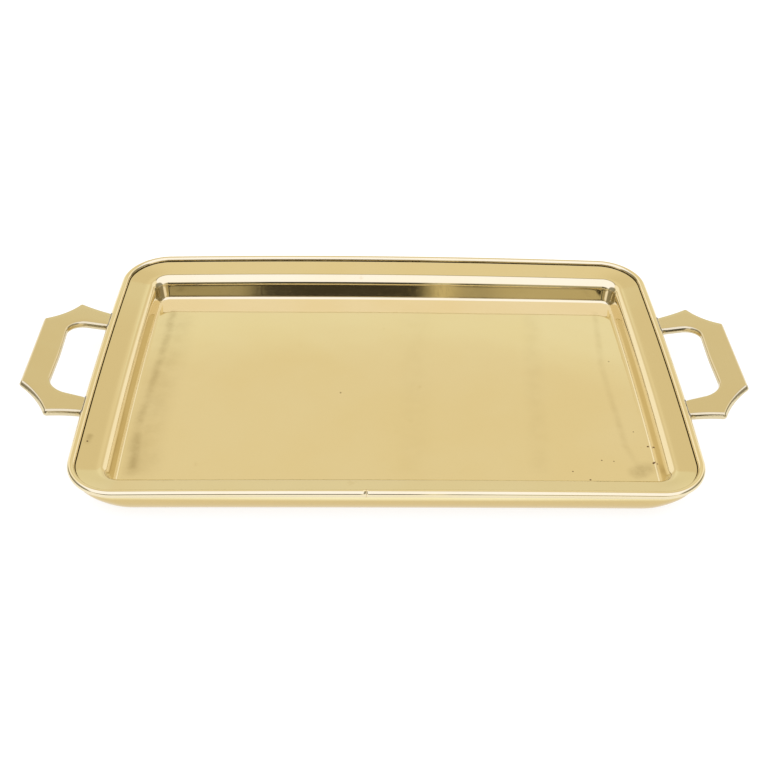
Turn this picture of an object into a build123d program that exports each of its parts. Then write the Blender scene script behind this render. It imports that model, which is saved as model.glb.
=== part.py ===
from build123d import *
import math
import os

# Serving tray in polished brass: a pressed pan with a sloping flange, a heavier rounded
# under-shell that gives it a double wall, a solid brass rod round the rim, and two flat
# cast handles brazed to the rod.
# Units mm.  Origin: centre of the flat base.  +X along the length (towards a handle),
# +Y towards the back, +Z up.

# ---- driving dimensions ---------------------------------------------------------------
ROD_HALF_X = 247.0      # rim rod centreline, half length at the corners
ROD_HALF_Y = 166.1      # rim rod centreline, half width at the corners
BOW_X = 3.0             # how far the short sides bow outwards at the middle
BOW_Y = 1.3             # how far the long sides bow outwards at the middle
ROD_CORNER = 37.0       # plan corner radius of the rod centreline
ROD_R = 3.0             # rim rod radius
RIM_Z = 29.5            # height of the rod centreline above the base

SHEET = 1.0             # brass sheet thickness, pan and under-shell
FLANGE_IN = 3.3         # the flange starts this far inside the rod centreline (dark groove)
FLANGE_DROP = 0.6       # flange edge height below the rod centreline
FLANGE_SLOPE = 14.5     # degrees, falling towards the well
WALL_SLOPE = 82.0       # degrees from horizontal
SHOULDER_R = 10.0       # flange to wall
FLOOR_R = 3.0           # wall to floor
FLOOR_IN = 28.6         # wall meets floor this far inside the rod centreline
FLOOR_Z = 3.3           # upper face of the well floor above the base
LIP_DEPTH = 3.4         # turned-down edge of the flange behind the rod
PLATE_IN = 33.0         # the swept rim strip of the pan ends here, the floor plate fills in

SHELL_R = 26.4          # quarter-round side of the under-shell
SHELL_IN = 0.2          # its top edge, inside the rod centreline
SHELL_CORNERS = (37.0, 39.0, 42.0, 41.0, 36.0, 28.0, 21.0)   # plan corner radius, top to base

HANDLE_TILT = 12.8      # degrees, handles rise outwards
HANDLE_T = 6.6          # handle thickness
HANDLE_ROUND = 2.8      # rounding of the handle's long edges
HANDLE_X0 = 252.65      # arm mid-plane reaches the solder here
HANDLE_LIFT = -0.2      # arm mid-plane above the rod centreline at that point
ARM_END = 251.4         # the arm ends reach in to here, coped to fit round the rod
ARM_GAP = 0.4           # solder thickness between the rod and the coped arm ends
GRIP_X = 305.8          # straight outer edge of the grip
GRIP_HALF = 46.2        # half length of that edge
POINT_X, POINT_Y = 279.8, 78.4   # side points of the handle outline
ARM_OUT, ARM_IN = 71.6, 50.4     # arm edges where they reach the rim
HOLE_X = 283.6          # grip inner edge beside its corners
HOLE_MID_X = 282.6      # soft point at the middle of the grip inner edge
HOLE_CORNER = 16.0      # rounding of the two grip-side corners of the opening

JOINT_X = -18.0         # the two rod ends meet here, on the front side
JOINT_GAP = 0.5
CLEAR = 0.02            # gap left between touching pieces


# ---- plan curves ----------------------------------------------------------------------
def plan_face(inset, corner):
    """Rounded rectangle with slightly bowed sides, `inset` mm inside the rod centreline."""
    hx, hy = ROD_HALF_X - inset, ROD_HALF_Y - inset
    corners = [(hx, -hy), (hx, hy), (-hx, hy), (-hx, -hy)]
    middles = [(hx + BOW_X, 0), (0, hy + BOW_Y), (-hx - BOW_X, 0), (0, -hy - BOW_Y)]
    with BuildSketch() as sk:
        with BuildLine():
            for i in range(4):
                ThreePointArc(corners[i], middles[i], corners[(i + 1) % 4])
        make_face()
        fillet(sk.vertices(), corner)
    return sk.sketch.faces()[0]


RIM_PATH = plan_face(0.0, ROD_CORNER).outer_wire().moved(Location((0, 0, RIM_Z)))


def section_plane():
    """Plane across the rim: local x points into the tray, local y up, centre on the rod."""
    start, along = RIM_PATH @ 0, RIM_PATH % 0
    inward = Vector(0, 0, 1).cross(along)
    if inward.dot(Vector(-start.X, -start.Y, 0)) < 0:
        inward = inward * -1
    return Plane(origin=start, x_dir=inward, z_dir=inward.cross(Vector(0, 0, 1)))


def round_the_rim(section):
    """Sweep a flat section, drawn in (inset, height) about the rod centre, round the tray."""
    return sweep(section_plane() * section, path=RIM_PATH)


# ---- pan ------------------------------------------------------------------------------
def pan_section():
    """Cross-section of the pressed sheet from its turned-down lip to the well floor."""
    fall = math.tan(math.radians(FLANGE_SLOPE))
    lean = 1 / math.tan(math.radians(WALL_SLOPE))
    floor_h = FLOOR_Z - RIM_Z
    top_h = -FLANGE_DROP
    # where the flange line and the wall line would cross
    x_cross = (FLOOR_IN - lean * (top_h + FLANGE_IN * fall - floor_h)) / (1 - lean * fall)
    h_cross = top_h - (x_cross - FLANGE_IN) * fall
    upper = [(FLANGE_IN, top_h - LIP_DEPTH), (FLANGE_IN, top_h), (x_cross, h_cross),
             (FLOOR_IN, floor_h), (PLATE_IN, floor_h)]
    with BuildLine() as ln:
        Polyline(upper)
        for (x, y), radius in zip(upper[1:4], (SHEET, SHOULDER_R, FLOOR_R)):
            fillet(ln.vertices().sort_by_distance((x, y))[0], radius)
    return Face(ln.wire().offset_2d(SHEET, side=Side.RIGHT, closed=True))


def tray_pan():
    rim_strip = round_the_rim(pan_section())
    plate = extrude(plan_face(PLATE_IN - 0.6, ROD_CORNER - PLATE_IN + 0.6), SHEET)
    return rim_strip + plate.moved(Location((0, 0, FLOOR_Z - SHEET)))


# ---- under-shell ----------------------------------------------------------------------
def hull(radius, thin):
    """Solid body with quarter-round sides; `thin` is how far it lies inside the outside."""
    steps = len(SHELL_CORNERS) - 1
    centre_in = SHELL_IN + SHELL_R
    faces = []
    for i, corner in enumerate(SHELL_CORNERS):
        a = math.radians(90 * i / steps)
        inset = centre_in - radius * math.cos(a)
        face = plan_face(inset, corner - thin)
        faces.append(face.moved(Location((0, 0, SHELL_R - radius * math.sin(a)))))
    return loft(faces)


def base_shell():
    body = hull(SHELL_R, 0.0)
    hollow = hull(SHELL_R - SHEET, SHEET)
    return body - hollow


# ---- rim ------------------------------------------------------------------------------
def rod(radius):
    return round_the_rim(Circle(radius))


def joint_slot(width):
    """Block that cuts across the rod where its two ends meet, on the front side."""
    front = -(ROD_HALF_Y + BOW_Y)
    return Pos(JOINT_X, front, RIM_Z) * Box(width, 4 * ROD_R, 4 * ROD_R)


def rim_rod():
    return rod(ROD_R) - joint_slot(JOINT_GAP)


def rim_rod_braze():
    """Thin disc of brazing metal between the two ends of the rod."""
    return rod(ROD_R) & joint_slot(JOINT_GAP - CLEAR)


def rim_seam_solder():
    """Solder run in the corner between the rod, the flange lip and the under-shell."""
    lip = FLANGE_IN - 2 * CLEAR
    inner = SHELL_IN + SHEET + 0.8
    with BuildSketch() as sk:
        with BuildLine():
            Polyline((inner, -1.8), (lip, -1.6), (lip, -FLANGE_DROP - LIP_DEPTH), (inner, -5.0),
                     close=True)
        make_face()
        Circle(ROD_R + CLEAR, mode=Mode.SUBTRACT)
    return round_the_rim(sk.sketch)


# ---- handles --------------------------------------------------------------------------
def handle_plane():
    """Mid-plane of the right handle, tilted upwards; local x outwards, local y = +Y."""
    tilt = math.radians(HANDLE_TILT)
    return Plane(origin=(HANDLE_X0, 0, RIM_Z + HANDLE_LIFT), x_dir=(math.cos(tilt), 0, math.sin(tilt)),
                 z_dir=(-math.sin(tilt), 0, math.cos(tilt)))


def along(x):
    """Distance along the tilted handle for a point at plan position x."""
    return (x - HANDLE_X0) / math.cos(math.radians(HANDLE_TILT))


def hollow_curve(start, end, sag):
    """Arc between two outline points that dips `sag` mm towards the opening."""
    a, b = Vector(*start), Vector(*end)
    mid = (a + b) * 0.5
    normal = Vector(-(b - a).Y, (b - a).X).normalized()
    centre = Vector(along(HOLE_X) / 2, 0)
    if normal.dot(centre - mid) < 0:
        normal = normal * -1
    return ThreePointArc(a, mid + normal * sag, b)


def handle_outline():
    arm, point = (-3, ARM_OUT - 0.85), (along(POINT_X), POINT_Y)
    tip = (along(GRIP_X), GRIP_HALF)
    flip = lambda p: (p[0], -p[1])
    with BuildSketch() as sk:
        with BuildLine():
            hollow_curve(arm, point, 0.9)
            hollow_curve(point, tip, 2.8)
            Line(tip, flip(tip))
            hollow_curve(flip(tip), flip(point), 2.8)
            hollow_curve(flip(point), flip(arm), 0.9)
            Line(flip(arm), arm)
        make_face()
        fillet([v for v in sk.vertices() if v.X > 1], 2.0)
    return sk.sketch


def handle_hole():
    """Finger opening, open towards the rim, with a soft point on the grip side."""
    mouth, corner = (-4, ARM_IN + 0.3), (along(HOLE_X), ARM_IN - 3.0)
    middle = (along(HOLE_MID_X), 0)
    with BuildSketch() as sk:
        with BuildLine():
            Polyline(mouth, corner, middle, (corner[0], -corner[1]), (mouth[0], -mouth[1]), close=True)
        make_face()
        fillet([v for v in sk.vertices() if abs(v.X - corner[0]) < 0.01], HOLE_CORNER)
        fillet([v for v in sk.vertices() if abs(v.Y) < 0.01], 30)
    return sk.sketch


def right_handle():
    flat = extrude(handle_plane() * (handle_outline() - handle_hole()), HANDLE_T / 2, both=True)
    up = handle_plane().z_dir
    long_edges = []
    for face in flat.faces():
        if abs(face.normal_at().dot(up)) > 0.99:
            long_edges += [e for e in face.edges() if (e @ 0.5).X > HANDLE_X0 - 1]
    rounded = fillet(long_edges, HANDLE_ROUND)
    return rounded - Pos(ARM_END - 10, 0, RIM_Z) * Box(20, 200, 60) - rod(ROD_R + ARM_GAP)


def right_joint(side):
    """Layer of solder between one coped arm end and the rod; side is +1 back arm, -1 front."""
    width, height = ARM_OUT - ARM_IN + 0.2, HANDLE_T - 0.6
    block = Pos(ARM_END, side * (ARM_OUT + ARM_IN) / 2, RIM_Z + HANDLE_LIFT) * Box(6, width, height)
    outside = Pos(ARM_END - 0.3, 0, RIM_Z) * Box(20, 200, 60, align=(Align.MIN, Align.CENTER, Align.CENTER))
    return (block & outside & rod(ROD_R + ARM_GAP - CLEAR)) - rod(ROD_R + CLEAR)


def to_left(piece):
    return piece.rotate(Axis.Z, 180)


# ---- build ----------------------------------------------------------------------------
def pieces():
    handle, back, front = right_handle(), right_joint(1), right_joint(-1)
    return {
        "tray_pan": tray_pan(),
        "base_shell": base_shell(),
        "rim_rod": rim_rod(),
        "rim_rod_braze": rim_rod_braze(),
        "rim_seam_solder": rim_seam_solder(),
        "handle_right": handle,
        "handle_left": to_left(handle),
        "solder_right_back": back,
        "solder_right_front": front,
        "solder_left_back": to_left(front),
        "solder_left_front": to_left(back),
    }


os.makedirs("parts", exist_ok=True)
for name, piece in pieces().items():
    piece.label = name
    export_step(piece, f"parts/{name}.step")
    box = piece.bounding_box()
    print(name, round(piece.volume), len(piece.solids()), piece.is_valid,
          [round(v, 2) for v in (*box.min, *box.max)])
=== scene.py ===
"""Looks of the handled brass serving tray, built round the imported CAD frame."""
import math

import bpy
import numpy as np
from mathutils import Matrix, Vector, noise


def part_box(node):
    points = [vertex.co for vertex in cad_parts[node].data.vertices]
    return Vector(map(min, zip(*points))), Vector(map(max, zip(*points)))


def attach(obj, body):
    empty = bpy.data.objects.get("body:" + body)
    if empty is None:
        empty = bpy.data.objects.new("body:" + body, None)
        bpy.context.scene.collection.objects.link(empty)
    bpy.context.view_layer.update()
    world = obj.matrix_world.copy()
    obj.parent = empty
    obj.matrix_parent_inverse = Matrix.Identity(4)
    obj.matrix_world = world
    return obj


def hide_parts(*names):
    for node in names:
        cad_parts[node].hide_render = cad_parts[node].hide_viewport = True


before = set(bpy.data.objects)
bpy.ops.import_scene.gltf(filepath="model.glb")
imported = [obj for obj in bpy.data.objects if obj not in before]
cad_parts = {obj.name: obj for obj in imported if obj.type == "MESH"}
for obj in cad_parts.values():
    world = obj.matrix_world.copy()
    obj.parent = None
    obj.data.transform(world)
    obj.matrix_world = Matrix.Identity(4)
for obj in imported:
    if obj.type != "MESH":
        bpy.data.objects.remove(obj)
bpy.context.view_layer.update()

MM = 0.001

# ---- sizes: outer limits from the frame, the rest are the tray's own driving dimensions -----
rod_lo, rod_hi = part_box("rim_rod")
shell_lo, shell_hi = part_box("base_shell")
pan_lo, pan_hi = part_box("tray_pan")
arm_lo, arm_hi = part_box("handle_right")
pad_lo, pad_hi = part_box("solder_right_back")
braze_lo, braze_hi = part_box("rim_rod_braze")

# rim and under-shell
ROD_R = (rod_hi.z - rod_lo.z) / 2
RIM_Z = (rod_hi.z + rod_lo.z) / 2
BOW_X, BOW_Y = 3.0 * MM, 1.3 * MM            # outward bow of the short and long sides
HALF_X = rod_hi.x - ROD_R - BOW_X            # rod centreline without the bow
HALF_Y = rod_hi.y - ROD_R - BOW_Y
CORNER = 37.0 * MM                           # plan radius of the rod centreline
SHEET = 1.0 * MM                             # thickness of the pan and of the under-shell
SHELL_R = shell_hi.z                         # quarter-round side of the under-shell
SHELL_IN = HALF_X + BOW_X - shell_hi.x
SHELL_CORNERS = (37.0, 39.0, 42.0, 41.0, 36.0, 28.0, 21.0)   # plan radii in mm, from rim to base
ARCH = 3.1 * MM                              # the old tray's rim stands this much higher mid-length

# pan; insets run inwards from the rod centreline, heights up from it
GROOVE_IN = HALF_X + BOW_X - pan_hi.x        # outer face of the flange lip, in the groove
LIP_Z = -0.6 * MM                            # upper edge of the lip
LIP_DEPTH = 3.4 * MM                         # how far the lip is turned down behind the rod
LIP_R = 0.45 * MM
FLANGE_SLOPE = math.radians(14.5)
WALL_SLOPE = math.radians(82.0)
SHOULDER_R = 10.0 * MM
FLOOR_R = 3.0 * MM
FLOOR_IN = 28.6 * MM                         # where wall and floor would meet without a radius
FLOOR_Z = pan_lo.z + SHEET - RIM_Z           # upper face of the well floor
FLOOR_STRIP = 8.0 * MM                       # flat strip between the wall and the floor's own rings
WELL_SHIFT = 1.1 * MM                        # the well was pressed this far towards the right handle

# handles; the mid-plane rises outwards and passes the rod's height near the arm ends
TILT = math.radians(12.8)
PIVOT = 252.65 * MM
HANDLE_LIFT = -0.2 * MM                      # mid-plane at PIVOT, from the rod centreline
HANDLE_T = 6.6 * MM
ARM_X = arm_lo.x                             # where the coped arm ends begin
GRIP_X = arm_hi.x - 0.1 * MM                 # outer side of the grip
ARM_OUT, ARM_IN = 71.6 * MM, 50.4 * MM       # both sides of the back arm at the rim
POINT = (279.8 * MM, 78.4 * MM)              # the point on the outline of the arm
TIP = (GRIP_X, 46.2 * MM)                    # the corner between arm and grip
POINT_SAG, TIP_SAG = 0.9 * MM, 2.8 * MM      # hollows of the outline before and after the point
TIP_R = 3.2 * MM
HOLE_X, HOLE_MID_X = 283.6 * MM, 282.6 * MM  # finger opening: grip side at its ends and middle
HOLE_FLARE = 3.0 * MM                        # the opening narrows by this much towards the grip
HOLE_R = 16.0 * MM
HOLE_BLEND = 16.0 * MM                       # length over which the opening's middle point is eased
HANDLE_ROUND = 2.5 * MM                      # filed round along the upper edge
HANDLE_FLAT = 2.0 * MM                       # leaning flat below it
HANDLE_LEAN = math.radians(20.5)
COPE_REACH = 5.0 * MM                        # length of arm that follows the coped end
ARM_GAP = 0.4 * MM                           # solder between the rod and the arm ends
SKIN = 0.02 * MM                             # clearance kept between neighbouring pieces

SMALLEST_R = 0.4 * MM                        # plan corners never get sharper than this
ROD_SIDES = 44
SIDE_STEP, ARC_STEPS = 3.5 * MM, 26          # spacing of the ring points on sides and corners


# ---- small geometry helpers ------------------------------------------------------------
def smooth(a, b, t):
    """Eased step of t: 0 at a, 1 at b."""
    t = np.clip((t - a) / (b - a), 0, 1)
    return t * t * (3 - 2 * t)


def rounded(points, radii, steps=10):
    """Polyline with its inner corners turned into arcs of the given radii."""
    pts = [np.array(p, float) for p in points]
    out = [pts[0]]
    for p, c, q, r in zip(pts, pts[1:], pts[2:], radii):
        if r <= 0:
            out.append(c)
            continue
        u, v = (p - c) / np.linalg.norm(p - c), (q - c) / np.linalg.norm(q - c)
        half = math.acos(max(-1.0, min(1.0, float(u @ v)))) / 2
        centre = c + (u + v) / np.linalg.norm(u + v) * r / math.sin(half)
        a, b = c + u * r / math.tan(half) - centre, c + v * r / math.tan(half) - centre
        turn = math.pi - 2 * half
        for k in range(steps + 1):
            t = k / steps
            w0, w1 = math.sin((1 - t) * turn) / math.sin(turn), math.sin(t * turn) / math.sin(turn)
            out.append(centre + w0 * a + w1 * b)
    out.append(pts[-1])
    return out


def densify(points, step):
    """Adds points so that no span of a polyline is longer than step."""
    out = [np.array(points[0], float)]
    for q in points[1:]:
        p, q = out[-1], np.array(q, float)
        n = max(1, math.ceil(np.linalg.norm(q - p) / step))
        out += [p + (q - p) * k / n for k in range(1, n + 1)]
    return out


def offset_line(points, d):
    """Points of a polyline moved d to its right, with mitred corners."""
    pts = [np.array(p, float) for p in points]
    out = []
    for i, p in enumerate(pts):
        dirs = []
        if i:
            dirs.append((p - pts[i - 1]) / np.linalg.norm(p - pts[i - 1]))
        if i < len(pts) - 1:
            dirs.append((pts[i + 1] - p) / np.linalg.norm(pts[i + 1] - p))
        normals = [np.array((t[1], -t[0])) for t in dirs]
        m = sum(normals)
        m = m / np.linalg.norm(m)
        out.append(p + m * d / float(m @ normals[0]))
    return out


def front_fractions(count):
    """Side fractions of the front edge, with two extra points where the rod's ends meet."""
    length = 2 * (HALF_X - CORNER)
    ends = [(x + HALF_X - CORNER) / length for x in (braze_lo.x, braze_hi.x)]
    clear = 0.4 / count
    even = [f for f in np.linspace(0, 1, count + 1) if all(abs(f - e) > clear for e in ends)]
    return sorted(even + ends)


def plan_ring(inset, corner=None):
    """Points round the tray, `inset` inside the rod centreline, counter-clockwise from front right."""
    r = max(CORNER - inset if corner is None else corner, SMALLEST_R)
    x, y = HALF_X - inset - r, HALF_Y - inset - r
    pts = []
    corners = ((x, -y, -90), (x, y, 0), (-x, y, 90), (-x, -y, 180))
    for i, (cx, cy, start) in enumerate(corners):
        for k in range(ARC_STEPS + 1):
            t = math.radians(start + 90 * k / ARC_STEPS)
            pts.append((cx + r * math.cos(t), cy + r * math.sin(t)))
        nx, ny, nstart = corners[(i + 1) % 4]
        q = (nx + r * math.cos(math.radians(nstart)), ny + r * math.sin(math.radians(nstart)))
        p = pts[-1]
        for f in SIDES[i][1:-1]:
            pts.append((p[0] + (q[0] - p[0]) * f, p[1] + (q[1] - p[1]) * f))
    pts = np.array(pts)
    x, y = pts[:, 0], pts[:, 1]
    bx = x + x / HALF_X * BOW_X * (1 - (y / HALF_Y) ** 2)
    by = y + y / HALF_Y * BOW_Y * (1 - (x / HALF_X) ** 2)
    return np.c_[bx, by]


LONG_SPANS = math.ceil(2 * (HALF_X - CORNER) / SIDE_STEP)
SHORT_SPANS = math.ceil(2 * (HALF_Y - CORNER) / SIDE_STEP)
SIDES = (np.linspace(0, 1, SHORT_SPANS + 1), np.linspace(0, 1, LONG_SPANS + 1),
         np.linspace(0, 1, SHORT_SPANS + 1), np.array(front_fractions(LONG_SPANS)))


def level(ring, z):
    """Plan points lifted to height z."""
    return np.c_[ring, np.full(len(ring), z)]


def turned(verts):
    """Points of a right-hand piece moved to the left-hand side of the tray."""
    return [(-x, -y, z) for x, y, z in verts]


def wobble(p, size, seed):
    """Smooth noise between -1 and 1; size is the distance over which it changes."""
    return noise.noise(Vector((p[0] / size, p[1] / size, p[2] / size + seed)))


def settle(v):
    """The gentle arch of an old tray: its long sides stand a little higher in the middle."""
    x, y, z = v
    half = HALF_X + BOW_X
    rise = max(0.0, 1 - (x / half) ** 2)
    return (x, y, z + ARCH * rise * (0.5 + 0.5 * min(1.0, z / RIM_Z)))


def make(name, verts, faces, material, replaces, vertex_values=None, darker_flanks=None):
    """Mesh object on the root body that stands for one CAD node."""
    mesh = bpy.data.meshes.new(name)
    mesh.from_pydata([settle(v) for v in verts], [], faces)
    mesh.validate()
    mesh.update()
    for p in mesh.polygons:
        p.use_smooth = True
    for label, values in (("shade_in_groove", vertex_values), ("darker_flanks", darker_flanks)):
        if values is not None:
            layer = mesh.attributes.new(label, "FLOAT", "POINT")
            layer.data.foreach_set("value", np.asarray(values, dtype=np.float32))
    obj = bpy.data.objects.new(name, mesh)
    bpy.context.scene.collection.objects.link(obj)
    mesh.materials.append(material)
    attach(obj, "root")
    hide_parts(replaces)


def rings_to_mesh(rings, poles=(None, None), closed=False):
    """Quads between successive rings of equal length; poles close the first and last ring."""
    n = len(rings[0])
    verts = [tuple(p) for ring in rings for p in ring]
    faces = []
    count = len(rings)
    for k in range(count if closed else count - 1):
        a, b = k * n, ((k + 1) % count) * n
        for i in range(n):
            j = (i + 1) % n
            faces.append((a + i, a + j, b + j, b + i))
    for pole, base, flip in ((poles[0], 0, True), (poles[1], (count - 1) * n, False)):
        if pole is not None:
            verts.append(tuple(pole))
            c = len(verts) - 1
            for i in range(n):
                j = (i + 1) % n
                faces.append((c, base + j, base + i) if flip else (base + i, base + j, c))
    return verts, faces


# ---- materials -------------------------------------------------------------------------
BRASS = (0.80, 0.70, 0.46)
# painted shade: dark colour laid into the groove between the rod and the flange lip
GROOVE_SHADE_COLOUR = (0.11, 0.08, 0.03)
STAIN_AND_STREAK = (0.30, 0.22, 0.09)
PIT = (0.10, 0.035, 0.015)

# stains, smudges and painted reflection streaks on the pan: plan lines in mm, how far each spreads, how
# strong it is
WEAR_AND_PAINTED_STREAKS = (
    # painted reflection: the left shoulder mirrored in the floor, as a dark streak and a broad dim band
    # beside it
    (((-204, 114), (-205, 52), (-208, -10), (-211, -51), (-208, -106)), 6.0, 0.22),
    (((-198, 100), (-199, 40), (-202, -20), (-204, -60), (-200, -104)), 24.0, 0.13),
    # a stain
    (((-211, -76), (-207, -112)), 9.0, 0.16),
    # painted reflection: the right shoulder mirrored in the floor, as a dark streak
    (((204, 118), (197, 34), (200, -78), (209, -115)), 5.0, 0.12),
    # a smudge
    (((204, -112), (213, -106)), 11.0, 0.38),
    # two faint darker lines running from back to front over the floor
    (((140, 108), (124, -108)), 14.0, 0.05),
    (((28, 108), (20, -108)), 22.0, 0.03),
    # a small stain
    (((-240, -96), (-241, -104)), 4.0, 0.3),
)
# pits in the pan: plan point and radius in mm
PITS = (((219, -79), 1.5), ((220, -100), 1.9), ((164, -121), 1.3), ((177, -97), 1.0), ((151, -111), 1.0),
        ((187, -98), 0.9), ((-41, -10), 1.1), ((-241, -103), 1.2), ((210, -60), 0.9), ((205, 40), 0.9))


class Nodes:
    """Short way to add and join the shader nodes of one tree."""

    def __init__(self, tree, coordinates="Object"):
        self.tree = tree
        self.coord = self.add("ShaderNodeTexCoord").outputs[coordinates]

    def add(self, kind, **values):
        node = self.tree.nodes.new(kind)
        for key, value in values.items():
            setattr(node, key, value)
        return node

    def link(self, out, socket):
        self.tree.links.new(out, socket)

    def noise(self, scale, detail=3.0, rough=0.55, stretch=None, turn=0.0):
        node = self.add("ShaderNodeTexNoise")
        node.inputs["Scale"].default_value = scale
        node.inputs["Detail"].default_value = detail
        node.inputs["Roughness"].default_value = rough
        self.link(self.mapped(stretch, turn) if stretch else self.coord, node.inputs["Vector"])
        return node.outputs["Fac"]

    def mapped(self, stretch, turn):
        node = self.add("ShaderNodeMapping")
        node.inputs["Scale"].default_value = stretch
        node.inputs["Rotation"].default_value = (0, 0, turn)
        self.link(self.coord, node.inputs["Vector"])
        return node.outputs["Vector"]

    def vertex_values(self, attribute):
        """Values that the mesh carries under this name; 0 where it carries none."""
        return self.add("ShaderNodeAttribute", attribute_name=attribute).outputs["Fac"]

    def ramp(self, value, low, high, to_low=0.0, to_high=1.0):
        node = self.add("ShaderNodeMapRange", interpolation_type="SMOOTHSTEP")
        for key, number in zip(("From Min", "From Max", "To Min", "To Max"), (low, high, to_low, to_high)):
            node.inputs[key].default_value = number
        self.link(value, node.inputs["Value"])
        return node.outputs["Result"]

    def math(self, kind, a, b=0.0, clamp=False):
        node = self.add("ShaderNodeMath", operation=kind, use_clamp=clamp)
        for socket, value in zip(node.inputs, (a, b)):
            if isinstance(value, (int, float)):
                socket.default_value = value
            else:
                self.link(value, socket)
        return node.outputs["Value"]

    def mix(self, factor, a, b):
        node = self.add("ShaderNodeMix", data_type="RGBA")
        if isinstance(factor, (int, float)):
            node.inputs["Factor"].default_value = factor
        else:
            self.link(factor, node.inputs["Factor"])
        for socket, value in zip((node.inputs[6], node.inputs[7]), (a, b)):
            if isinstance(value, tuple):
                socket.default_value = (*value, 1.0)
            else:
                self.link(value, socket)
        return node.outputs[2]

    def vector(self, kind, a, b, socket="Vector"):
        node = self.add("ShaderNodeVectorMath", operation=kind)
        for target, value in zip(node.inputs, (a, b)):
            if isinstance(value, tuple):
                target.default_value = value
            else:
                self.link(value, target)
        return node.outputs[socket]

    def near(self, points, reach):
        """1 on a line through plan points (mm), falling to 0 at `reach` mm from it."""
        flat = self.vector("MULTIPLY", self.coord, (1.0, 1.0, 0.0))
        best = 0.0
        for a, b in zip(points, points[1:] or points):
            a, b = Vector((*a, 0)) * MM, Vector((*b, 0)) * MM
            away = self.vector("SUBTRACT", flat, tuple(a))
            if a != b:
                along = self.vector("DOT_PRODUCT", away, tuple((b - a) / (b - a).length_squared), "Value")
                along = self.math("MULTIPLY", along, 1.0, clamp=True)
                node = self.add("ShaderNodeVectorMath", operation="SCALE")
                node.inputs[0].default_value = tuple(b - a)
                self.link(along, node.inputs["Scale"])
                away = self.vector("SUBTRACT", away, node.outputs["Vector"])
            gap = self.vector("LENGTH", away, (0.0, 0.0, 0.0), "Value")
            best = self.math("MAXIMUM", self.ramp(gap, 0.0, reach * MM, 1.0, 0.0), best)
        return best

    def bump(self, height, strength, distance, base=None):
        node = self.add("ShaderNodeBump")
        node.inputs["Strength"].default_value = strength
        node.inputs["Distance"].default_value = distance
        self.link(height, node.inputs["Height"])
        if base is not None:
            self.link(base, node.inputs["Normal"])
        return node.outputs["Normal"]


def new_material(name):
    """Material, its node helper and its main shader, set to metal."""
    mat = bpy.data.materials.new(name)
    mat.use_nodes = True
    shader = mat.node_tree.nodes["Principled BSDF"]
    shader.inputs["Metallic"].default_value = 1.0
    return mat, Nodes(mat.node_tree), shader


def tinted(tone, factors):
    return tuple(min(1.0, c * k) for c, k in zip(tone, factors))


def wear_and_painted_streaks(n, colour, tone):
    """The pan's darker short-side flanges, stains, painted reflection streaks along the well and small
    pits.
    """
    colour = n.mix(n.vertex_values("darker_flanks"), colour, tinted(tone, (0.90, 0.88, 0.83)))
    cloudy = n.ramp(n.noise(70.0, 5.0), 0.3, 0.7, 0.5, 1.3)
    # stains and smudges, painted reflection streaks of the shoulders in the floor, and two faint darker
    # lines
    for points, reach, depth in WEAR_AND_PAINTED_STREAKS:
        spot = n.math("MULTIPLY", n.math("MULTIPLY", n.near(points, reach), depth), cloudy)
        colour = n.mix(spot, colour, STAIN_AND_STREAK)
    for point, reach in PITS:
        colour = n.mix(n.ramp(n.near([point], reach), 0.0, 0.7, 0.0, 0.92), colour, PIT)
    return colour


def relief(n, waves, scratches, grain):
    """Soft planishing waves, hairline scratches from polishing, pinholes and casting grain."""
    normal = n.bump(n.noise(10.0, 2.0, 0.4), 1.0, 0.00022 * waves)
    for turn, scale in ((0.12, 90.0), (1.35, 72.0), (-0.6, 108.0)):
        hair = n.ramp(n.noise(scale, 2.0, 0.5, (14.0, 0.35, 1.0), turn), 0.66, 0.74)
        normal = n.bump(hair, 0.12 * scratches, 0.00002, normal)
    holes = n.add("ShaderNodeTexVoronoi", feature="F1")
    holes.inputs["Scale"].default_value = 45.0
    n.link(n.coord, holes.inputs["Vector"])
    normal = n.bump(n.ramp(holes.outputs["Distance"], 0.018, 0.045), 0.5, 0.00008, normal)
    if grain:
        normal = n.bump(n.noise(900.0, 4.0, 0.6), 0.25 * grain, 0.00003, normal)
    return normal


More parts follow.
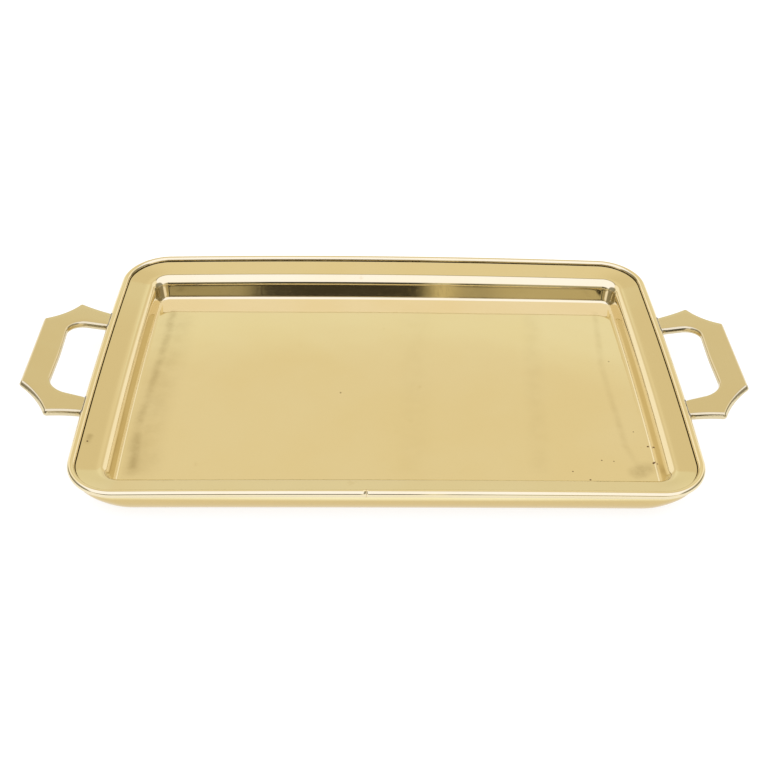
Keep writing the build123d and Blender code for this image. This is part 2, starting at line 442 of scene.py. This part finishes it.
def brass(name, tone=BRASS, rough=0.06, waves=1.0, scratches=1.0, grain=0.0, foot=None, add_wear_and_streaks=False):
    """Polished brass; `foot` is a darker tone painted low on the tray as the reflection of the shaded
    table, `add_wear_and_streaks` adds the pan's stains, pits, darker flanges and painted reflection
    streaks.
    """
    mat, n, shader = new_material(name)
    # faint warm and pale clouds, darker spots, painted shade in the groove where the mesh says so
    clouds = n.ramp(n.noise(9.0, 4.0), 0.35, 0.68)
    colour = n.mix(clouds, tinted(tone, (1.005, 1.01, 1.03)), tinted(tone, (0.995, 0.985, 0.96)))
    if foot:
        # painted shade: the under-shell darkens to `foot` towards its base, where it mirrors the shaded
        # table
        height = n.vector("DOT_PRODUCT", n.coord, (0.0, 0.0, 1.0), "Value")
        colour = n.mix(n.ramp(height, 0.78 * RIM_Z, 0.92 * RIM_Z), foot, colour)
    spots = n.ramp(n.noise(55.0, 5.0, 0.65), 0.66, 0.78, 0.0, 0.25)
    colour = n.mix(spots, colour, tinted(tone, (0.8, 0.72, 0.55)))
    if add_wear_and_streaks:
        colour = wear_and_painted_streaks(n, colour, tone)
    groove_shade_mask = n.vertex_values("shade_in_groove")
    ragged = n.math("MULTIPLY", groove_shade_mask, n.ramp(n.noise(160.0, 4.0), 0.25, 0.7, 0.75, 1.25))
    n.link(n.mix(n.ramp(ragged, 0.0, 1.0), colour, GROOVE_SHADE_COLOUR), shader.inputs["Base Color"])
    # cloths and fingers leave slightly duller patches
    wiped = n.noise(14.0, 5.0, 0.6, (1.0, 2.2, 1.0))
    dull = n.ramp(wiped, 0.4, 0.75, rough * 0.75, rough * 1.5)
    n.link(n.math("ADD", dull, n.math("MULTIPLY", groove_shade_mask, 0.3)), shader.inputs["Roughness"])
    n.link(relief(n, waves, scratches, grain), shader.inputs["Normal"])
    return mat


def solder(name, light=(0.42, 0.40, 0.36), dark=(0.20, 0.18, 0.14)):
    """Dull solder with a frosted, slightly lumpy skin and dark flux stains."""
    mat, n, shader = new_material(name)
    n.link(n.mix(n.ramp(n.noise(260.0, 4.0), 0.35, 0.7), light, dark), shader.inputs["Base Color"])
    n.link(n.ramp(n.noise(420.0), 0.3, 0.8, 0.28, 0.5), shader.inputs["Roughness"])
    n.link(n.bump(n.noise(600.0), 0.5, 0.0001), shader.inputs["Normal"])
    return mat


MAT_PAN = brass("brass_pan_polished", add_wear_and_streaks=True)
# painted shade: `foot` darkens the under-shell near its base
MAT_SHELL = brass("brass_shell_polished", tone=(0.86, 0.76, 0.43), rough=0.11, waves=1.6,
                  foot=(0.64, 0.49, 0.215))
MAT_ROD = brass("brass_rod_polished", waves=0.3, scratches=0.6)
MAT_CAST = brass("brass_cast_polished", tone=(0.69, 0.60, 0.39), rough=0.15, waves=0.5, grain=1.0)
MAT_BRAZE = brass("braze_dressed", tone=(0.74, 0.58, 0.32), rough=0.16, waves=0.3)
MAT_SOLDER = solder("soft_solder")
# painted shade: the solder in the groove is coloured near black
MAT_SEAM = solder("soft_solder_groove_shade", (0.10, 0.07, 0.035), (0.05, 0.035, 0.02))


# ---- pan -------------------------------------------------------------------------------
def pan_lines():
    """Upper and lower face of the pressed sheet, as (inset, height from the rod centreline)."""
    fall, lean = math.tan(FLANGE_SLOPE), 1 / math.tan(WALL_SLOPE)
    x = (FLOOR_IN - lean * (LIP_Z + GROOVE_IN * fall - FLOOR_Z)) / (1 - lean * fall)
    shoulder = (x, LIP_Z - (x - GROOVE_IN) * fall)
    top = [(GROOVE_IN, LIP_Z - LIP_DEPTH), (GROOVE_IN, LIP_Z), shoulder,
           (FLOOR_IN, FLOOR_Z), (FLOOR_IN + FLOOR_STRIP, FLOOR_Z)]
    upper = rounded(top, (LIP_R, SHOULDER_R, FLOOR_R), 12)
    lower = rounded(offset_line(top, SHEET), (0.05 * MM, SHOULDER_R - SHEET, FLOOR_R + SHEET), 10)
    return densify(upper, 1.6 * MM), densify(lower, 3 * MM)


def pan_ring(inset, z):
    """Ring of the pan, carried along with the slightly off-centre well."""
    ring = plan_ring(inset)
    pull = float(smooth(GROOVE_IN + 3 * MM, FLOOR_IN - 4 * MM, inset))
    ring[:, 0] += pull * WELL_SHIFT
    return level(ring, z)


def pan_face(line, count):
    """Rings of one face of the sheet; `count` steps carry the flat floor to its middle."""
    rings = [pan_ring(inset, RIM_Z + h) for inset, h in line]
    z = RIM_Z + line[-1][1]
    edge = rings[-1][:, :2]
    return rings + [level(edge * s, z) for s in np.linspace(1.0, 0.02, count)[1:]]


def planished(v):
    """The sheet was planished by hand: its faces are true to a few hundredths of a millimetre."""
    x, y, z = v
    dz = 0.05 * MM * wobble((x, y, 0), 0.07, 3) + 0.02 * MM * wobble((x, y, 0), 0.03, 11)
    return (x, y, z + dz * (1.0 if z < RIM_Z + FLOOR_Z + 2 * MM else 0.5))


def build_pan():
    upper, lower = pan_lines()
    rings = pan_face(upper, 44)
    verts, faces = rings_to_mesh(rings, (None, (0, 0, RIM_Z + FLOOR_Z)))
    under, under_faces = rings_to_mesh(pan_face(lower, 12), (None, (0, 0, RIM_Z + FLOOR_Z - SHEET)))
    n, base = len(rings[0]), len(verts)
    faces += [tuple(base + i for i in reversed(f)) for f in under_faces]
    faces += [(i, base + i, base + (i + 1) % n, (i + 1) % n) for i in range(n)]     # edge of the lip
    verts += under
    # painted shade in the groove, and flanges on the short sides that are coloured a little darker
    groove_shade_weights, darker_flanks = np.zeros(len(verts)), np.zeros(len(verts))
    for k, (inset, h) in enumerate(upper):
        if h > FLOOR_Z / 2:
            groove_shade_weights[k * n:(k + 1) * n] = smooth(GROOVE_IN + 0.3 * MM, GROOVE_IN, inset)
        x, y = np.abs(rings[k][:, 0]), np.abs(rings[k][:, 1])
        flank = smooth(0.82 * HALF_X, 0.92 * HALF_X, x) * smooth(0.97 * HALF_Y, 0.86 * HALF_Y, y)
        darker_flanks[k * n:(k + 1) * n] = smooth(20 * MM, 17 * MM, inset) * flank
    make("tray_pan_sheet", [planished(v) for v in verts], faces, MAT_PAN, "tray_pan",
         groove_shade_weights, darker_flanks)


# ---- under-shell -----------------------------------------------------------------------
def shell_ring(angle, radius, thin):
    """Ring of the quarter-round side: angle 0 at the rim, 90 degrees at the foot."""
    inset = SHELL_IN + SHELL_R - radius * math.cos(angle)
    t = angle / (math.pi / 2) * (len(SHELL_CORNERS) - 1)
    corner = np.interp(t, range(len(SHELL_CORNERS)), SHELL_CORNERS) * MM - thin
    return level(plan_ring(inset, corner), SHELL_R - radius * math.sin(angle))


def shrunk(ring, scales):
    """Smaller and smaller, or larger and larger, copies of a flat ring."""
    return [np.c_[ring[:, :2] * s, ring[:, 2]] for s in scales]


def build_shell():
    steps = 30
    angles = [math.pi / 2 * k / steps for k in range(steps + 1)]
    inner = [shell_ring(a, SHELL_R - SHEET, SHEET) for a in reversed(angles)]
    outer = [shell_ring(a, SHELL_R, 0.0) for a in angles]
    ceiling = shrunk(inner[0], np.linspace(0.03, 1, 10)[:-1])
    bottom = shrunk(outer[-1], np.linspace(1, 0.03, 16)[1:])
    verts, faces = rings_to_mesh(ceiling + inner + outer + bottom, ((0, 0, SHEET), (0, 0, 0)))
    make("base_shell_sheet", verts, faces, MAT_SHELL, "base_shell")


# ---- rim -------------------------------------------------------------------------------
def joint_columns(centre):
    """Indices of the ring points on either side of the place where the rod's ends meet."""
    front = [i for i in range(len(centre)) if centre[i][1] < -HALF_Y + CORNER / 2]
    return [min(front, key=lambda i: abs(centre[i][0] - x)) for x in (braze_lo.x, braze_hi.x)]


def build_rod():
    """Rod bent round the tray, from one end beside the braze to the other."""
    angles = [2 * math.pi * k / ROD_SIDES for k in range(ROD_SIDES)]
    rings = [level(plan_ring(ROD_R * math.cos(a)), RIM_Z + ROD_R * math.sin(a)) for a in angles]
    centre = plan_ring(0.0)
    left, right = joint_columns(centre)
    n = len(centre)
    order = [(right + k) % n for k in range((left - right) % n + 1)]
    verts, faces, groove_shade_weights = [], [], []
    for i in order:
        middle = np.linalg.norm(centre[i])
        for ring in rings:
            v = ring[i]
            verts.append(tuple(v))
            # only the inner side, down in the groove, gets painted shade
            hidden = np.linalg.norm(v[:2]) < middle and v[2] < RIM_Z + 0.3 * MM
            depth = 1 - abs(v[2] - RIM_Z + 0.4 * MM) / (1.3 * MM)
            groove_shade_weights.append(max(0.0, depth) if hidden else 0.0)
    for a in range(len(order) - 1):
        for k in range(ROD_SIDES):
            j, here, there = (k + 1) % ROD_SIDES, a * ROD_SIDES, (a + 1) * ROD_SIDES
            faces.append((here + k, here + j, there + j, there + k))
    last = (len(order) - 1) * ROD_SIDES
    faces += [tuple(reversed(range(ROD_SIDES))), tuple(range(last, last + ROD_SIDES))]
    make("rim_rod_round", verts, faces, MAT_ROD, "rim_rod", groove_shade_weights)


def build_braze():
    """Brazing metal between the two ends of the rod, dressed flush with it."""
    discs = []
    for t in (0.0, 0.25, 0.75, 1.0):
        x = braze_lo.x * (1 - t) + braze_hi.x * t
        y = -(HALF_Y + BOW_Y * (1 - (x / HALF_X) ** 2))
        discs.append([(x, y + ROD_R * math.cos(2 * math.pi * k / ROD_SIDES),
                       RIM_Z + ROD_R * math.sin(2 * math.pi * k / ROD_SIDES)) for k in range(ROD_SIDES)])
    y = -(HALF_Y + BOW_Y)
    verts, faces = rings_to_mesh(discs, ((braze_lo.x, y, RIM_Z), (braze_hi.x, y, RIM_Z)))
    make("rim_rod_braze_disc", verts, faces, MAT_BRAZE, "rim_rod_braze")


def build_seam():
    """Hidden solder run between the rod, the flange lip and the under-shell."""
    lip, inner = GROOVE_IN - 2 * SKIN, SHELL_IN + SHEET + 0.8 * MM
    shallowest, sag, foot = 1.7 * MM, 4.3 * MM, 5.0 * MM       # depths below the rod centreline
    loop = []
    for x in np.linspace(inner, lip, 9):
        loop.append((x, -math.sqrt(max((ROD_R + SKIN) ** 2 - x * x, shallowest ** 2))))
    loop += [(lip, LIP_Z - LIP_DEPTH), ((lip + inner) / 2, -sag), (inner, -foot)]
    verts, faces = rings_to_mesh([level(plan_ring(x), RIM_Z + z) for x, z in loop], closed=True)
    make("rim_seam_solder_run", verts, [f[::-1] for f in faces], MAT_SEAM, "rim_seam_solder")


# ---- handles ---------------------------------------------------------------------------
def sagged(a, b, sag, steps=22):
    """Arc from a to b that dips `sag` towards the finger opening."""
    a, b = np.array(a), np.array(b)
    d = b - a
    normal = np.array((-d[1], d[0])) / np.linalg.norm(d)
    if normal @ (np.array(((ARM_X + GRIP_X) / 2, 0)) - (a + b) / 2) < 0:
        normal = -normal
    return [a + d * t + normal * sag * 4 * t * (1 - t) for t in np.linspace(0, 1, steps + 1)]


def soften(curve, corner_index, radius):
    """Rounds one corner of a dense polyline."""
    pts = [np.array(p) for p in curve]
    c = pts[corner_index]
    def reach(step, length):
        i, total = corner_index, 0.0
        while total < length:
            total += np.linalg.norm(pts[i + step] - pts[i])
            i += step
        return i
    u, v = pts[corner_index - 1] - c, pts[corner_index + 1] - c
    cos = float(u @ v) / np.linalg.norm(u) / np.linalg.norm(v)
    trim = radius / math.tan(math.acos(max(-1.0, min(1.0, cos))) / 2)
    i, j = reach(-1, trim), reach(1, trim)
    arc = rounded([pts[i], c, pts[j]], (radius,), 14)
    return pts[:i + 1] + arc[1:-1] + pts[j:]


def resample(curve, count):
    """Evenly spaced points along a polyline."""
    pts = np.array(curve)
    s = np.r_[0, np.cumsum(np.linalg.norm(np.diff(pts, axis=0), axis=1))]
    t = np.linspace(0, s[-1], count)
    return np.c_[np.interp(t, s, pts[:, 0]), np.interp(t, s, pts[:, 1])]


def mirrored(half):
    """A curve from the back arm to the middle of the grip, carried on to the front arm."""
    return np.vstack([half, half[::-1][1:] * (1, -1)])


def outer_curve(count):
    """Outline of the handle: two hollow arcs that meet in a point, then the straight grip."""
    first = sagged((ARM_X, ARM_OUT), POINT, POINT_SAG)
    second = sagged(POINT, TIP, TIP_SAG)
    curve = first + second[1:] + densify([TIP, (GRIP_X, 0.0)], 1.0 * MM)[1:]
    curve = soften(curve, len(first) + len(second) - 2, TIP_R)
    curve = soften(curve, len(first) - 1, TIP_R)
    return mirrored(resample(curve, count))


def inner_curve(count):
    """Finger opening, with a soft point in the middle of the grip."""
    mouth = ARM_IN - HOLE_FLARE
    curve = densify(rounded([(ARM_X, ARM_IN), (HOLE_X, mouth), (HOLE_MID_X, 0.0)], (HOLE_R,), 24), 1.0 * MM)
    slope = (HOLE_X - HOLE_MID_X) / mouth
    for p in curve:
        if p[0] > HOLE_MID_X - 1 * MM and abs(p[1]) < HOLE_BLEND / 2:
            p[0] = HOLE_MID_X + slope * (p[1] ** 2 / HOLE_BLEND + HOLE_BLEND / 4)
    return mirrored(resample(curve, count))


def edge_profile():
    """Section of the handle's edge from top face to underside, as (inset, height): a filed round,
    a nearly upright flat, then a fuller round below."""
    r, lean = HANDLE_ROUND, HANDLE_LEAN
    low_r = (HANDLE_T - r * (1 - math.sin(lean)) - HANDLE_FLAT * math.cos(lean)) / (1 + math.sin(lean))
    pts = []
    for k in range(9):
        a = math.pi / 2 + (lean - math.pi / 2) * k / 8
        pts.append((r * math.cos(a), HANDLE_T / 2 - r * (1 - math.sin(a))))
    x = pts[-1][0] + HANDLE_FLAT * math.sin(lean)
    h = pts[-1][1] - HANDLE_FLAT * math.cos(lean)
    cx, cz = x - low_r * math.cos(lean), h - low_r * math.sin(lean)
    for k in range(13):
        a = lean + (-math.pi / 2 - lean) * k / 12
        pts.append((cx + low_r * math.cos(a), cz + low_r * math.sin(a)))
    reach = max(p[0] for p in pts)
    return [(reach - x, z) for x, z in pts]


def normals_towards(curve, other):
    """Unit normals of a plan curve that point towards the other curve, square at the arm ends."""
    d = np.gradient(curve, axis=0)
    d /= np.linalg.norm(d, axis=1)[:, None]
    n = np.c_[-d[:, 1], d[:, 0]]
    n *= np.median(np.sign(np.sum(n * (other - curve), axis=1)))
    square = math.copysign(1.0, other[0][1] - curve[0][1])
    n[0], n[-1] = (0, square), (0, -square)
    return n


def between(a, b, h):
    """Four points across one face of the handle."""
    return [(a + (b - a) * t, h) for t in (0.2, 0.4, 0.6, 0.8)]


def rod_side(y, z, grow):
    """x of the rod's outer face, grown by `grow`, at height z from the centreline."""
    return HALF_X + BOW_X * (1 - (y / HALF_Y) ** 2) + math.sqrt(max((ROD_R + grow) ** 2 - z * z, 0.0))


def placed(p, h):
    """Point of the handle at plan place p and height h over its mid-plane, tilted and coped."""
    h += 0.04 * MM * wobble((p[0], p[1], h), 0.02, 7)       # filed by hand, not machined
    x = p[0] - math.sin(TILT) * h * float(smooth(ARM_X, ARM_X + 4 * MM, p[0]))
    z = HANDLE_LIFT + (p[0] - PIVOT) * math.tan(TILT) + h * math.cos(TILT)
    # the arm ends are coped round the rod
    end = max(ARM_X, rod_side(p[1], z, ARM_GAP))
    if x < ARM_X + COPE_REACH:
        x = end + (max(x, ARM_X) - ARM_X) * (ARM_X + COPE_REACH - end) / COPE_REACH
    return (x, p[1], RIM_Z + z)


def build_handle(name, replaces, turn):
    outer, inner = outer_curve(230), inner_curve(230)
    n_out, n_in = normals_towards(outer, inner), normals_towards(inner, outer)
    edge = edge_profile()
    verts, faces = [], []
    for p, q, n_p, n_q in zip(outer, inner, n_out, n_in):
        loop = [(p + n_p * d, h) for d, h in edge]
        loop += between(loop[-1][0], q + n_q * edge[-1][0], -HANDLE_T / 2)
        loop += [(q + n_q * d, h) for d, h in reversed(edge)]
        loop += between(loop[-1][0], p + n_p * edge[0][0], HANDLE_T / 2)
        verts += [placed(*point) for point in loop]
    k = len(loop)
    for i in range(len(outer) - 1):
        for j in range(k):
            m, here, there = (j + 1) % k, i * k, (i + 1) * k
            faces.append((here + j, here + m, there + m, there + j))
    last = (len(outer) - 1) * k
    faces += [tuple(reversed(range(k))), tuple(range(last, last + k))]
    make(name, turned(verts) if turn else verts, faces, MAT_CAST, replaces)


def build_joint(name, replaces, side, turn):
    """Thin layer of solder between the rod and one coped arm end."""
    width = (ARM_OUT - ARM_IN) / 2 + 0.1 * MM
    height, corner = (pad_hi.z - pad_lo.z) / 2, 1.2 * MM
    centre_y, centre_z = (ARM_OUT + ARM_IN) / 2 * side, (pad_hi.z + pad_lo.z) / 2 - RIM_Z
    box = []
    for sy, sz, start in ((1, 1, 0), (-1, 1, 90), (-1, -1, 180), (1, -1, 270)):
        for k in range(9):
            t = math.radians(start + 90 * k / 8)
            box.append((sy * (width - corner) + corner * math.cos(t),
                        sz * (height - corner) + corner * math.sin(t)))
    box = densify(box + [box[0]], 0.6 * MM)[:-1]
    near, far = SKIN, ARM_GAP - SKIN
    layers = []
    for scale, grow in ((0.33, far), (0.66, far), (1.0, far), (1.01, 0.2 * MM),
                        (1.0, near), (0.66, near), (0.33, near)):
        ring = []
        for u, w in box:
            ragged = 1 + 0.012 * wobble((u, w, grow / MM), 0.004, 21 + side + (5 if turn else 0))
            y, z = centre_y + u * scale * ragged, centre_z + w * scale
            ring.append((rod_side(y, z, grow), y, RIM_Z + z))
        layers.append(ring)
    ends = [(rod_side(centre_y, centre_z, g), centre_y, RIM_Z + centre_z) for g in (far, near)]
    verts, faces = rings_to_mesh(layers, ends)
    make(name, turned(verts) if turn else verts, faces, MAT_SOLDER, replaces)


# ---- assembly --------------------------------------------------------------------------
build_pan()
build_shell()
build_rod()
build_braze()
build_seam()
for hand, turn in (("right", False), ("left", True)):
    build_handle(f"handle_{hand}_cast", f"handle_{hand}", turn)
# turning the right-hand pieces by 180 degrees also swaps back and front
for node, side, turn in (("solder_right_back", 1, False), ("solder_right_front", -1, False),
                         ("solder_left_front", 1, True), ("solder_left_back", -1, True)):
    build_joint(f"{node}_fillet", node, side, turn)


# ---- studio ----------------------------------------------------------------------------
CAM_AT = Vector((-0.0192, -0.8146, 0.6443))
CAM_YAW, CAM_PITCH, CAM_ROLL = math.radians(2.70), math.radians(37.99), math.radians(2.02)
LENS, SHIFT_X, SENSOR = 54.63, -0.0322, 36.0

FLOOR_HALF, FLOOR_DROP = 6.0, 0.0006         # half side in m, gap that keeps floor and foot apart
PAPER = (0.93, 0.83, 0.585)                  # warm paper backdrop: straight above, then
PAPER_MID = (0.99, 0.94, 0.71)               # lower down,
PAPER_LOW = (0.88, 0.81, 0.595)              # near the table
PAPER_SIDE = (0.88, 0.775, 0.54)             # and to the sides
PANEL = (1.15, 1.09, 0.97)                   # white panels left and right of it
SOFTBOX = (1.09, 1.13, 1.30)                 # large softbox overhead: its middle,
SOFTBOX_FRONT = (1.6, 1.62, 1.75)            # front
SOFTBOX_REAR = (1.85, 1.9, 2.15)             # and rear
SOFTBOX_AGAIN = (1.28, 1.31, 1.57)           # what a reflection of a reflection meets
ROOM = (0.065, 0.06, 0.05)                   # dim room behind the camera
ROOM_SIDE = (0.25, 0.23, 0.16)
# degrees round the tray's long axis: 0 is the front horizon, 90 overhead, 180 the back
BOX_FROM, BOX_TO = 21.5, 108.0
FRONT_BAND, REAR_BAND = (38, 46), (57, 66)   # where the front fades out and the rear begins
LENS_AT, LENS_EDGE = 0.025, (0.066, 0.084)   # darkest part of the room: middle and fading edge
GAP_AT, GAP_EDGE = 0.112, (0.004, 0.016)     # narrow gap through which the paper shows


def build_camera():
    data = bpy.data.cameras.new("camera")
    cam = bpy.data.objects.new("camera", data)
    bpy.context.scene.collection.objects.link(cam)
    right = Vector((math.cos(CAM_YAW), -math.sin(CAM_YAW), 0))
    ahead = Vector((math.sin(CAM_YAW) * math.cos(CAM_PITCH), math.cos(CAM_YAW) * math.cos(CAM_PITCH),
                    -math.sin(CAM_PITCH)))
    up = right.cross(ahead)
    c, s = math.cos(CAM_ROLL), math.sin(CAM_ROLL)
    right, up = right * c + up * s, up * c - right * s
    basis = Matrix((right, up, -ahead)).transposed()
    cam.matrix_world = Matrix.Translation(CAM_AT) @ basis.to_4x4()
    data.sensor_width, data.lens, data.shift_x = SENSOR, LENS, SHIFT_X
    data.clip_start, data.clip_end = 0.01, 50
    bpy.context.scene.camera = cam


def build_floor():
    mesh = bpy.data.meshes.new("studio_floor")
    s = FLOOR_HALF
    mesh.from_pydata([(-s, -s, 0), (s, -s, 0), (s, s, 0), (-s, s, 0)], [], [(0, 1, 2, 3)])
    floor = bpy.data.objects.new("studio_floor", mesh)
    floor.location.z = -FLOOR_DROP
    bpy.context.scene.collection.objects.link(floor)
    mat, _, shader = new_material("studio_paper")
    for socket, value in (("Metallic", 0.0), ("Base Color", (0.3, 0.3, 0.3, 1)), ("Roughness", 0.9),
                          ("Emission Color", (1, 1, 1, 1)), ("Emission Strength", 0.8)):
        shader.inputs[socket].default_value = value
    mesh.materials.append(mat)


def backdrop(n, side, height):
    """Paper that dims low down and to the sides, with white side panels beyond it."""
    paper = n.mix(n.ramp(height, 0.565, 0.605, 1.0, 0.0), PAPER, PAPER_MID)
    paper = n.mix(n.ramp(height, 0.15, 0.5, 1.0, 0.0), paper, PAPER_LOW)
    paper = n.mix(n.ramp(side, 0.2, 0.31), paper, PAPER_SIDE)
    return n.mix(n.ramp(side, 0.38, 0.5), paper, PANEL)


def softbox(n, turn):
    """Bright along its front and rear, softer between; plain for reflections of reflections."""
    bright = n.mix(n.ramp(turn, *FRONT_BAND), SOFTBOX_FRONT, SOFTBOX)
    bright = n.mix(n.ramp(turn, *REAR_BAND), bright, SOFTBOX_REAR)
    depth = n.add("ShaderNodeLightPath").outputs["Ray Depth"]
    return n.mix(n.math("GREATER_THAN", depth, 1.5), bright, SOFTBOX_AGAIN)


def distance(n, value, centre):
    return n.math("ABSOLUTE", n.math("SUBTRACT", value, centre))


def room(n, across, side, towards, turn):
    """How much of the dim room shows below the front edge of the softbox, past the lens."""
    strip = n.math("MULTIPLY", n.ramp(turn, -1.5, 1.5), n.ramp(turn, BOX_FROM - 1, BOX_FROM + 1, 1.0, 0.0))
    strip = n.math("MULTIPLY", strip, n.ramp(towards, 0.0, 0.3))
    core = n.ramp(distance(n, across, LENS_AT), *LENS_EDGE, 1.0, 0.0)
    rest = n.math("MULTIPLY", n.ramp(side, 0.45, 0.85, 1.0, 0.3), n.ramp(turn, 13, 17, 0.98, 0.5))
    rest = n.math("MULTIPLY", rest, n.ramp(across, 0.14, 0.17, 1.0, 0.55))
    rest = n.math("MULTIPLY", rest, n.ramp(distance(n, across, GAP_AT), *GAP_EDGE, 0.1, 1.0))
    return n.math("MULTIPLY", n.math("MAXIMUM", core, rest), strip)


def build_world():
    """Light tent, brightest overhead, with the dim room behind the camera showing as a soft gap."""
    world = bpy.data.worlds.new("studio")
    bpy.context.scene.world = world
    world.use_nodes = True
    n = Nodes(world.node_tree, "Generated")
    across = n.vector("DOT_PRODUCT", n.coord, (math.cos(CAM_YAW), -math.sin(CAM_YAW), 0), "Value")
    towards = n.vector("DOT_PRODUCT", n.coord, (-math.sin(CAM_YAW), -math.cos(CAM_YAW), 0), "Value")
    height = n.vector("DOT_PRODUCT", n.coord, (0, 0, 1), "Value")
    side = n.math("ABSOLUTE", across)
    turn = n.math("MULTIPLY", n.math("ARCTAN2", height, towards), 180 / math.pi)
    above = n.math("MULTIPLY", n.ramp(turn, BOX_FROM - 1, BOX_FROM + 1),
                   n.ramp(turn, BOX_TO - 2, BOX_TO + 2, 1.0, 0.0))
    light = n.mix(above, backdrop(n, side, height), softbox(n, turn))
    # narrow dark frame at the back edge of the softbox
    edge = n.math("MULTIPLY", n.ramp(turn, BOX_TO - 3, BOX_TO + 1),
                  n.ramp(turn, BOX_TO + 3, BOX_TO + 7, 1.0, 0.0))
    light = n.mix(n.math("MULTIPLY", edge, n.ramp(side, 0.4, 0.6, 0.5, 0.0)), light, ROOM)
    # dusk at the far left and right, below the softbox
    far = n.math("MULTIPLY", n.ramp(side, 0.74, 0.86, 0.0, 0.9), n.ramp(height, 0.45, 0.75, 1.0, 0.0))
    light = n.mix(far, light, ROOM_SIDE)
    light = n.mix(room(n, across, side, towards, turn), light, ROOM)
    background = world.node_tree.nodes["Background"]
    n.link(light, background.inputs["Color"])
    background.inputs["Strength"].default_value = 1.0


build_camera()
build_floor()
build_world()
bpy.context.scene.view_settings.view_transform = "Standard"
bpy.context.scene.view_settings.look = "None"
bpy.context.scene.cycles.max_bounces = 12
bpy.context.scene.cycles.glossy_bounces = 8
